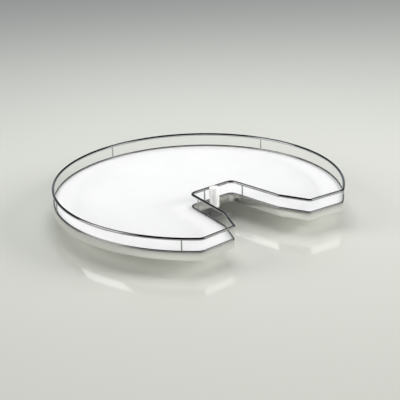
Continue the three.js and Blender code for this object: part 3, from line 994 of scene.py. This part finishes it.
def bead(path: Sequence[Vector], radius: float, sides: int = 10) -> bmesh.types.BMesh:
    """Lays a bead of weld, which tapers at both ends and ripples between them.

    Args:
        path: The points that the bead follows.
        radius: Half its thickness at its middle.
        sides: How many facets go round it.

    Returns:
        The closed mesh.
    """
    last = len(path) - 1
    side = Vector((0.0, 0.0, 1.0))
    rings = []
    for i, centre in enumerate(path):
        along = (path[min(i + 1, last)] - path[max(i - 1, 0)]).normalized()
        side = (side - along * side.dot(along)).normalized()
        across = along.cross(side)
        swell = math.sqrt(math.sin(math.pi * (i + 0.5) / (last + 1)))
        size = radius * swell * (1 + BEAD_RIPPLE * math.cos(BEAD_PITCH * i))
        rings.append([
            centre + (side * math.cos(FULL_TURN * k / sides)
                      + across * math.sin(FULL_TURN * k / sides)) * size
            for k in range(sides)
        ])
    return loft(rings)


# ---- White post at the back of the slot ----------------------------------------------------------


@dataclass(frozen=True)
class SlotPost:
    """The white post behind the slot: a flatted tube, its cap and the plug over its screw.

    The plug's dome is given as shares of its radius and of its thickness.
    """

    y: float = -69.0
    radius: float = 14.0
    flat: float = 11.5
    corner: float = 1.2
    least_corner: float = 0.3
    wall: float = 3.5
    foot: float = 47.0
    top: float = 101.0
    cap_bottom: float = 101.3
    cap_top: float = 103.79
    cap_rounding: float = 1.2
    edge: float = 0.4
    screw_z: float = 54.0
    plug_radius: float = 3.9
    plug_thickness: float = 1.2
    plug_sink: float = 0.2
    plug_dome: tuple[Pair, ...] = ((1.0, 0.0), (1.0, 0.75), (0.95, 0.9), (0.7, 0.97), (0.3, 1.0))
    plug_sides: int = 40
    rail_y: float = 13.3
    saddle_sides: int = 32
    round_steps: int = 72
    corner_steps: int = 5
    cap_steps: int = 6

    def _ring(self, inset: float, z: float) -> Ring:
        """Draws the post's section.

        Args:
            inset: How far it is drawn in from the post's face.
            z: Its height.

        Returns:
            The closed ring.
        """
        radius, flat = self.radius - inset, self.flat - inset
        corner = max(self.corner - inset, self.least_corner)
        centre_x = math.sqrt((radius - corner) ** 2 - (flat - corner) ** 2)
        lean = math.degrees(math.atan2(flat - corner, centre_x))
        points = [
            *arc((centre_x, flat - corner), corner, lean, 90.0, self.corner_steps),
            *arc((-centre_x, flat - corner), corner, 90.0, 180.0 - lean, self.corner_steps),
            *arc((0.0, 0.0), radius, 180.0 - lean, 360.0 + lean, self.round_steps)[1:-1],
        ]
        return [Vector((x, y, z)) for x, y in points]

    def _saddle(self, rail: Wire) -> bmesh.types.BMesh:
        """The groove in which the rail lies behind the post."""
        reach = 2 * self.radius
        return rod(rail.radius + CLEARANCE, Vector((-reach, self.rail_y, rail.z)),
                   Vector((reach, self.rail_y, rail.z)), self.saddle_sides)

    def tube(self, body: TrayBody) -> bmesh.types.BMesh:
        """Builds the hollow post, with the seat of its plug and the groove for the rail.

        Args:
            body: The tray's board and gallery.

        Returns:
            The post's mesh.
        """
        edge, wall = self.edge, self.wall
        shell = loft([
            self._ring(edge, self.foot),
            self._ring(0.0, self.foot + edge),
            self._ring(0.0, self.top - edge),
            self._ring(edge, self.top),
            self._ring(wall, self.top),
            self._ring(wall, self.foot),
        ], wrap=True)
        seat = rod(self.plug_radius + CLEARANCE, Vector((0.0, -2 * self.radius, self.screw_z)),
                   Vector((0.0, wall / 2 - self.radius, self.screw_z)), self.plug_sides)
        return carved(shell, [seat, self._saddle(body.rail)])

    def cap(self, body: TrayBody) -> bmesh.types.BMesh:
        """Builds the lid that closes the post, with a rounded edge.

        Args:
            body: The tray's board and gallery.

        Returns:
            The cap's mesh.
        """
        rounding = self.cap_rounding
        crown = arc((rounding, self.cap_top - rounding), rounding, 180.0, 90.0, self.cap_steps)
        shell = loft([
            self._ring(self.edge / 2, self.cap_bottom),
            self._ring(0.0, self.cap_bottom + self.edge / 2),
            *[self._ring(inset, z) for inset, z in crown],
        ])
        return carved(shell, [self._saddle(body.rail)])

    def plug(self) -> bmesh.types.BMesh:
        """Builds the disc over the screw's head, its face a little domed.

        Returns:
            The plug's mesh.
        """
        radius, depth = self.plug_radius, self.plug_thickness
        mesh = turned([(radius * out, depth * up) for out, up in self.plug_dome], self.plug_sides)
        inner_face = self.plug_sink + depth - self.radius
        mesh.transform(Matrix.Translation((0.0, inner_face, self.screw_z))
                       @ Matrix.Rotation(math.pi / 2, 4, "X"))
        return mesh

    def dress(self, looks: Looks, body: TrayBody) -> None:
        """Builds the post, cap and plug and seats them on the tray.

        Args:
            looks: The materials of the part.
            body: The tray's board and gallery.
        """
        white = looks.by_slot["moulded_white"]
        place = Matrix.Translation((0.0, self.y * MILLIMETRE, 0.0))
        for name, node, mesh in (
                ("white_post", "slot_post", self.tube(body)),
                ("white_post_cap", "slot_post_cap", self.cap(body)),
                ("white_post_plug", "slot_post_plug", self.plug())):
            piece = Piece(name, Body.TRAY, "moulded_white", (node,), place)
            add_piece(piece, mesh_data(name, mesh, white))


# ---- Screws and clips ----------------------------------------------------------------------------


@dataclass(frozen=True)
class Screw:
    """A pan-head screw with a cross recess, drawn head down and standing on its head.

    The head's rounding and the recess's depth are shares of the head's height, its flat face and
    the recess's arms are shares of the head's radius, and the point is a share of the shank's.
    """

    head_radius: float
    head_height: float
    radius: float
    shank: float
    sides: int = 32
    rounding: float = 0.6
    rounding_steps: int = 5
    face: float = 0.2
    face_dome: float = 0.06
    under_edge: float = 0.1
    point: float = 0.12
    arm_length: float = 0.55
    arm_half: float = 0.13
    recess_depth: float = 0.75
    recess_start: float = -0.5
    recess_flare: float = 1.05
    recess_taper: float = 0.45

    def mesh(self) -> bmesh.types.BMesh:
        """Builds the screw, its head from zero to its height and its shank above it.

        Returns:
            The screw's mesh.
        """
        head, height, core, edge = self.head_radius, self.head_height, self.radius, self.under_edge
        rounding = height * self.rounding
        crown = arc((head - rounding, rounding), rounding, 270.0, 360.0, self.rounding_steps)
        tip = self.radius * 2
        body = turned([
            (head * self.face, -self.face_dome), *crown, (head, height - edge),
            (head - edge, height), (core, height), (core, height + self.shank - tip),
            (core * self.point, height + self.shank),
        ], self.sides)
        return carved(body, [self._recess()])

    def _recess(self) -> bmesh.types.BMesh:
        """Builds the cross in the head, which narrows with depth.

        Returns:
            The shape to take away.
        """
        arm, half = self.head_radius * self.arm_length, self.head_radius * self.arm_half
        rings = []
        for z, share in ((self.recess_start, self.recess_flare),
                         (self.head_height * self.recess_depth, self.recess_taper)):
            long, short = arm * share, half * (0.5 + share / 2)
            corners = [(long, -short), (long, short), (short, short), (short, long),
                       (-short, long), (-short, short), (-long, short), (-long, -short),
                       (-short, -short), (-short, -long), (short, -long), (short, -short)]
            rings.append([Vector((x, y, z)) for x, y in corners])
        return loft(rings)


@dataclass(frozen=True)
class BoardClips:
    """The angle clips that hold the band to the board, with their screws."""

    inset: float = 1.05
    width: float = 16.0
    reach: float = 22.0
    thickness: float = 1.5
    top: float = 45.7
    leg_bottom: float = 41.0
    hole_inset: float = 16.05
    hole_radius: float = 2.05
    hole_sides: int = 32
    bend: float = 2.0
    end_radius: float = 3.0
    round_steps: int = 6
    rim_angles: tuple[float, ...] = (79.2, 146.4)
    side_fraction: float = 0.55
    front_fraction: float = 0.5
    screw: Screw = Screw(head_radius=3.6, head_height=2.0, radius=1.75, shank=12.1)
    screw_bottom: float = 41.9

    def places(self, line: Outline) -> list[Station]:
        """Where the clips sit, in the order of their CAD nodes."""
        return both_sides([
            *[line.on_rim(angle) for angle in self.rim_angles],
            line.on_edge(line.throat, line.bend, self.side_fraction),
            line.on_edge(line.tip, line.heel_end, self.front_fraction),
        ])

    def clip(self) -> bmesh.types.BMesh:
        """Bends a strip: its leg against the band, its foot under the board.

        Returns:
            The clip's mesh, drawn with +X into the tray.
        """
        left, right = self.inset, self.inset + self.reach
        top, inner = self.top, self.top - self.thickness
        bend_centre = (left + self.bend, top - self.bend)
        outer = arc(bend_centre, self.bend, 90.0, 180.0, self.round_steps)
        inside = arc(bend_centre, self.bend - self.thickness, 180.0, 90.0, self.round_steps)
        section = [
            (right, inner), (right, top), *outer,
            (left, self.leg_bottom), (left + self.thickness, self.leg_bottom), *inside,
        ]
        half = self.width / 2
        mesh = loft([[Vector((x, y, z)) for x, z in section] for y in (-half, half)])
        hole = rod(self.hole_radius, Vector((self.hole_inset, 0.0, inner - 2 * OVERCUT)),
                   Vector((self.hole_inset, 0.0, top + 2 * OVERCUT)), self.hole_sides)
        nips = [self._nip(side) for side in (-1.0, 1.0)]
        return carved(mesh, [hole, *nips])

    def _nip(self, side: float) -> bmesh.types.BMesh:
        """Builds what is cut off to round one corner of the foot.

        Args:
            side: 1 for the corner at the strip's left edge, -1 for the one at its right edge.

        Returns:
            The shape to take away.
        """
        right, half, cut = self.inset + self.reach, self.width / 2, self.end_radius
        past_end, past_side = right + OVERCUT, half + OVERCUT
        shape = [
            *arc((right - cut, half - cut), cut, 0.0, 90.0, self.round_steps),
            (right - cut, past_side), (past_end, past_side), (past_end, half - cut),
        ]
        return loft([[Vector((x, y * side, z)) for x, y in shape]
                     for z in (self.top - self.thickness - OVERCUT, self.top + OVERCUT)])

    def dress(self, looks: Looks, line: Outline) -> None:
        """Builds the clips and their screws and seats them on the tray.

        Args:
            looks: The materials of the part.
            line: The tray's outline.
        """
        zinc = looks.by_slot["zinc_plate"]
        clip = mesh_data("clip", self.clip(), zinc)
        screw_mesh = self.screw.mesh()
        screw_mesh.transform(Matrix.Translation((self.hole_inset, 0.0, self.screw_bottom)))
        screw = mesh_data("clip_screw", screw_mesh, zinc)
        for i, place in enumerate(self.places(line), start=1):
            for name, node, data in (("angle_clip", "board_clip", clip),
                                     ("angle_clip_screw", "clip_screw", screw)):
                piece = Piece(f"{name}_{i}", Body.TRAY, "zinc_plate", (f"{node}_{i}",),
                              place.matrix())
                add_piece(piece, data)


# ---- Turntable -----------------------------------------------------------------------------------


@dataclass(frozen=True)
class Turntable:
    """The cast hub under the board, its screws, the ball bearing and the base plate.

    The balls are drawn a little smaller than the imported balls, clear of the races' flat facets.
    """

    hub_bore: float = 29.3
    hub_radius: float = 33.0
    hub_foot: float = 5.0
    hub_edge: float = 0.5
    rim_steps: int = 3
    web_bottom: float = 19.0
    web_top: float = 25.0
    web_hole: float = 10.8
    flange_radius: float = 47.5
    flange_bottom: float = 42.7
    flange_top: float = 45.7
    fillet: float = 5.0
    fillet_steps: int = 8
    screw_circle: float = 38.5
    screw_count: int = 6
    screw: Screw = Screw(head_radius=4.0, head_height=2.4, radius=2.0, shank=14.6)
    plate_thickness: float = 3.0
    plate_edge: float = 0.6
    corner_circle: float = 78.0
    corner_radius: float = 14.0
    corner_angles: tuple[float, ...] = (90.0, 210.0, 330.0)
    corner_steps: int = 20
    hole_radius: float = 2.6
    sink_radius: float = 4.8
    hole_sides: int = 40
    ball_radius: float = 3.92
    ball_sides: int = 28
    ball_rings: int = 18
    pitch_radius: float = 22.5
    ball_z: float = 11.0
    ball_count: int = 12
    sides: int = 120

    def hub(self) -> bmesh.types.BMesh:
        """Builds the cup over the bearing with its flange under the board.

        Returns:
            The hub's mesh.
        """
        edge = self.hub_edge
        fillet = arc((self.hub_radius + self.fillet, self.flange_bottom - self.fillet),
                     self.fillet, 180.0, 90.0, self.fillet_steps)
        rim = arc((self.flange_radius - edge, self.flange_bottom + edge), edge, 270.0, 360.0,
                  self.rim_steps)
        return turned([
            (self.hub_bore, self.hub_foot + edge),
            (self.hub_bore + edge, self.hub_foot),
            (self.hub_radius - edge, self.hub_foot),
            (self.hub_radius, self.hub_foot + edge),
            *fillet,
            *rim,
            (self.flange_radius, self.flange_top),
            (self.hub_bore, self.flange_top),
            (self.hub_bore, self.web_top),
            (self.web_hole, self.web_top),
            (self.web_hole, self.web_bottom),
            (self.hub_bore, self.web_bottom),
        ], self.sides, wrap=True)

    def plate(self) -> bmesh.types.BMesh:
        """Builds the three-cornered base plate with a countersunk hole in each corner.

        Returns:
            The plate's mesh.
        """
        thickness, edge = self.plate_thickness, self.plate_edge
        mesh = loft([
            self._plate_ring(edge, 0.0),
            self._plate_ring(0.0, edge),
            self._plate_ring(0.0, thickness - edge),
            self._plate_ring(edge, thickness),
        ])
        return carved(mesh, [self._drill(angle) for angle in self.corner_angles])

    def _corner(self, angle: float) -> Pair:
        """Centre of one rounded corner, which is the centre of its hole."""
        turn = math.radians(angle)
        return self.corner_circle * math.cos(turn), self.corner_circle * math.sin(turn)

    def _plate_ring(self, inset: float, z: float) -> Ring:
        """The plate's outline drawn in by an inset, at a height."""
        half_turn = 180.0 / len(self.corner_angles)
        return [
            Vector((x, y, z))
            for angle in self.corner_angles
            for x, y in arc(self._corner(angle), self.corner_radius - inset, angle - half_turn,
                            angle + half_turn, self.corner_steps)
        ]

    def _drill(self, angle: float) -> bmesh.types.BMesh:
        """Builds the shape of one countersunk hole.

        Args:
            angle: The angle of its corner, in degrees.

        Returns:
            The shape to take away.
        """
        thickness, hole, sink = self.plate_thickness, self.hole_radius, self.sink_radius
        mesh = turned([
            (hole, -OVERCUT),
            (hole, thickness - (sink - hole)),
            (sink + OVERCUT, thickness + OVERCUT),
        ], self.hole_sides)
        mesh.transform(Matrix.Translation((*self._corner(angle), 0.0)))
        return mesh

    def ball(self) -> bmesh.types.BMesh:
        """Builds one bearing ball about the origin.

        Returns:
            The ball's mesh.
        """
        mesh = bmesh.new()
        bmesh.ops.create_uvsphere(mesh, u_segments=self.ball_sides, v_segments=self.ball_rings,
                                  radius=self.ball_radius)
        return mesh

    def dress(self, looks: Looks) -> None:
        """Builds the hub, its screws, the balls and the base plate and seats them.

        Args:
            looks: The materials of the part.
        """
        hub = mesh_data("hub", self.hub(), looks.by_slot["cast_grey"])
        add_piece(Piece("cast_hub", Body.TRAY, "cast_grey", ("hub",)), hub)
        plate = mesh_data("plate", self.plate(), looks.by_slot["pale_paint"])
        add_piece(Piece("floor_plate", Body.BASE, "pale_paint", ("base_plate",)), plate)
        screw = mesh_data("flange_screw", self.screw.mesh(), looks.by_slot["zinc_plate"])
        head_bottom = self.flange_bottom - CLEARANCE - self.screw.head_height
        for i in range(self.screw_count):
            angle = FULL_TURN * (i + 0.5) / self.screw_count + math.pi / 2
            place = self._at(angle, self.screw_circle, head_bottom)
            piece = Piece(f"hub_screw_{i + 1}", Body.TRAY, "zinc_plate",
                          (f"flange_screw_{i + 1}",), place)
            add_piece(piece, screw)
        ball = mesh_data("ball", self.ball(), looks.by_slot["bearing_steel"])
        for i in range(self.ball_count):
            place = self._at(FULL_TURN * i / self.ball_count, self.pitch_radius, self.ball_z)
            piece = Piece(f"bearing_ball_{i + 1}", Body.CAGE, "bearing_steel",
                          (f"ball_{i + 1}",), place)
            add_piece(piece, ball)

    @staticmethod
    def _at(angle: float, radius: float, z: float) -> Matrix:
        """Places a mesh in metres on a circle about the turning axis."""
        place = Vector((radius * math.cos(angle), radius * math.sin(angle), z)) * MILLIMETRE
        return Matrix.Translation(place) @ Matrix.Rotation(angle, 4, "Z")


# ---- Studio --------------------------------------------------------------------------------------


@dataclass(frozen=True)
class Lamp:
    """A rectangular soft lamp.

    Its place is an angle in degrees to the left of the camera's line of sight, and a distance from
    the turning axis and a height in metres. A lamp that metal mirrors doesn't light the floor.
    """

    name: str
    left_of_sight: float
    distance: float
    height: float
    width: float
    tall: float
    energy: float
    mirrored_in_metal: bool


@dataclass(frozen=True)
class Studio:
    """The camera, the lamps, the room and the floor.

    Lengths are in metres and angles in degrees. The room's fades are given by the cosine of the
    angle to the line of sight for the backdrop, and to the vertical for the wall foot.
    """

    lens: float = 135.08
    sensor: float = 36.0
    elevation: float = 21.006
    turn: float = -39.0
    distance: float = 4.2065
    aim_z: float = 0.100
    yaw: float = -0.0482
    pitch: float = -0.6942
    roll: float = 1.2993
    farthest: float = 100.0
    floor_size: float = 60.0
    floor_z: float = -0.0002
    floor_color: Color = (0.88, 0.89, 0.815)
    floor_roughness: float = 0.4
    floor_gloss: float = 1.0
    floor_gloss_roughness: float = 0.07
    room_dark: Color = (0.008, 0.008, 0.008)
    room_backdrop: Color = (0.28, 0.31, 0.34)
    backdrop_start: float = 0.82
    backdrop_full: float = 0.94
    room_wall_foot: Color = (0.42, 0.43, 0.43)
    wall_foot_full: float = 0.06
    wall_foot_end: float = 0.14
    lamps: tuple[Lamp, ...] = (
        Lamp("overhead", left_of_sight=0.0, distance=0.7, height=1.8,
             width=1.7, tall=1.7, energy=25.0, mirrored_in_metal=False),
        Lamp("left_panel", left_of_sight=106.0, distance=1.82, height=0.85,
             width=1.38, tall=1.7, energy=12.5, mirrored_in_metal=True),
        Lamp("right_panel", left_of_sight=253.0, distance=1.99, height=0.9,
             width=0.9, tall=1.7, energy=5.5, mirrored_in_metal=True),
        Lamp("left_fill", left_of_sight=90.0, distance=3.9, height=1.4,
             width=2.4, tall=1.8, energy=86.0, mirrored_in_metal=False),
        Lamp("right_fill", left_of_sight=270.0, distance=3.9, height=1.3,
             width=2.4, tall=1.5, energy=146.0, mirrored_in_metal=False),
        Lamp("front_fill", left_of_sight=180.0, distance=4.5, height=1.2,
             width=3.0, tall=1.35, energy=86.0, mirrored_in_metal=False),
    )

    def build(self) -> None:
        """Builds the whole studio."""
        self._camera()
        receivers = self._all_but(self._floor())
        for lamp in self.lamps:
            self._lamp(lamp, receivers)
        self._room()

    def _camera(self) -> None:
        """Sets the camera at the photograph's angle."""
        lift = math.radians(self.elevation)
        back = Vector((0.0, -math.cos(lift), math.sin(lift))) * self.distance
        forward, right = -back.normalized(), Vector((1.0, 0.0, 0.0))
        up = right.cross(forward)
        axes = [right, up, forward]
        for spun, axis, angle in (((0, 2), 1, self.yaw), ((1, 2), 0, self.pitch),
                                  ((0, 1), 2, self.roll)):
            turn = Matrix.Rotation(math.radians(angle), 3, axes[axis])
            for k in spun:
                axes[k] = turn @ axes[k]
        matrix = Matrix((axes[0], axes[1], -axes[2])).transposed().to_4x4()
        round_tray = Matrix.Rotation(math.radians(self.turn), 4, "Z")
        data = bpy.data.cameras.new("camera")
        data.lens = self.lens
        data.sensor_width = self.sensor
        data.clip_end = self.farthest
        camera = bpy.data.objects.new("camera", data)
        camera.matrix_world = (Matrix.Translation((0.0, 0.0, self.aim_z)) @ round_tray
                               @ Matrix.Translation(back) @ matrix)
        bpy.context.scene.collection.objects.link(camera)
        bpy.context.scene.camera = camera

    @staticmethod
    def _all_but(floor: bpy.types.Object) -> bpy.types.Collection:
        """Gathers what a mirrored lamp lights: everything except the floor.

        Args:
            floor: The floor, whose gloss would mirror the lamp.

        Returns:
            The collection that leaves the floor out.
        """
        receivers = bpy.data.collections.new("lit_by_panels")
        receivers.objects.link(floor)
        receivers.collection_objects[0].light_linking.link_state = "EXCLUDE"
        return receivers

    def _lamp(self, lamp: Lamp, receivers: bpy.types.Collection) -> None:
        """Hangs one lamp so that it faces the tray.

        Args:
            lamp: The lamp.
            receivers: What the lamp lights, if metal mirrors it.
        """
        data = bpy.data.lights.new(lamp.name, "AREA")
        data.shape = "RECTANGLE"
        data.size, data.size_y = lamp.width, lamp.tall
        data.energy = lamp.energy
        sight = math.radians(90.0 + self.turn + lamp.left_of_sight)
        place = Vector((math.cos(sight) * lamp.distance, math.sin(sight) * lamp.distance,
                        lamp.height))
        holder = bpy.data.objects.new(lamp.name, data)
        holder.matrix_world = (Matrix.Translation(place)
                               @ (place - Vector((0.0, 0.0, self.aim_z)))
                               .to_track_quat("Z", "Y").to_matrix().to_4x4())
        holder.visible_camera = False
        holder.visible_glossy = lamp.mirrored_in_metal
        if lamp.mirrored_in_metal:
            holder.light_linking.receiver_collection = receivers
        bpy.context.scene.collection.objects.link(holder)

    def _room(self) -> None:
        """A dark room with a pale backdrop behind the tray and a pale wall foot all round."""
        world = bpy.data.worlds.new("room")
        world.use_nodes = True
        bpy.context.scene.world = world
        tree = world.node_tree
        direction = tree.nodes.new("ShaderNodeTexCoord")
        sight = math.radians(90.0 + self.turn)
        backdrop = self._fade(tree, direction, (math.cos(sight), math.sin(sight), 0.0),
                              (self.backdrop_start, self.room_dark),
                              (self.backdrop_full, self.room_backdrop))
        wall_foot = self._fade(tree, direction, (0.0, 0.0, 1.0),
                               (self.wall_foot_full, self.room_wall_foot),
                               (self.wall_foot_end, self.room_dark))
        lighter = tree.nodes.new("ShaderNodeMix")
        lighter.data_type = "RGBA"
        lighter.blend_type = "LIGHTEN"
        lighter.inputs[MIX_FACTOR].default_value = 1.0
        tree.links.new(backdrop.outputs["Color"], lighter.inputs[MIX_FIRST])
        tree.links.new(wall_foot.outputs["Color"], lighter.inputs[MIX_SECOND])
        tree.links.new(lighter.outputs[MIX_RESULT], tree.nodes["Background"].inputs["Color"])

    @staticmethod
    def _fade(tree: bpy.types.NodeTree, direction: bpy.types.Node,
              along: tuple[float, float, float], start: tuple[float, Color],
              end: tuple[float, Color]) -> bpy.types.Node:
        """Fades the room from one colour to another along a direction.

        Args:
            tree: The world's node tree.
            direction: The node that gives the direction of sight.
            along: The direction that the fade follows.
            start: Where the fade begins, as the cosine to that direction, and its colour.
            end: Where it ends, and its colour.

        Returns:
            The node that gives the colour.
        """
        facing = tree.nodes.new("ShaderNodeVectorMath")
        facing.operation = "DOT_PRODUCT"
        facing.inputs[1].default_value = along
        ramp = tree.nodes.new("ShaderNodeValToRGB")
        ramp.color_ramp.interpolation = "EASE"
        for element, (place, color) in zip(ramp.color_ramp.elements, (start, end)):
            element.position, element.color = place, (*color, 1.0)
        tree.links.new(direction.outputs["Generated"], facing.inputs[0])
        tree.links.new(facing.outputs["Value"], ramp.inputs["Fac"])
        return ramp

    def _floor(self) -> bpy.types.Object:
        """Lays a plain pale floor with a clear gloss.

        Returns:
            The floor.
        """
        half = self.floor_size / 2
        mesh = bmesh.new()
        corners = [(-half, -half), (half, -half), (half, half), (-half, half)]
        mesh.faces.new([mesh.verts.new((x, y, self.floor_z)) for x, y in corners])
        floor = plain_object("floor", mesh)
        material = bpy.data.materials.new("pale_floor")
        material.use_nodes = True
        shader = material.node_tree.nodes["Principled BSDF"]
        shader.inputs["Base Color"].default_value = (*self.floor_color, 1.0)
        shader.inputs["Roughness"].default_value = self.floor_roughness
        shader.inputs["Coat Weight"].default_value = self.floor_gloss
        shader.inputs["Coat Roughness"].default_value = self.floor_gloss_roughness
        floor.data.materials.append(material)
        return floor


# ---- Assembly ------------------------------------------------------------------------------------


def main() -> None:
    """Builds the studio and every dressed piece."""
    logging.basicConfig(level=logging.INFO, format="%(name)s: %(message)s")
    bpy.context.scene.view_settings.view_transform = "Standard"
    Studio().build()
    looks = Looks(Effects())
    looks.dress_frame()
    tray = TrayBody()
    tray.dress(looks)
    SlotPost().dress(looks, tray)
    BoardClips().dress(looks, tray.outline)
    Turntable().dress(looks)


if __name__ == "__main__":
    main()
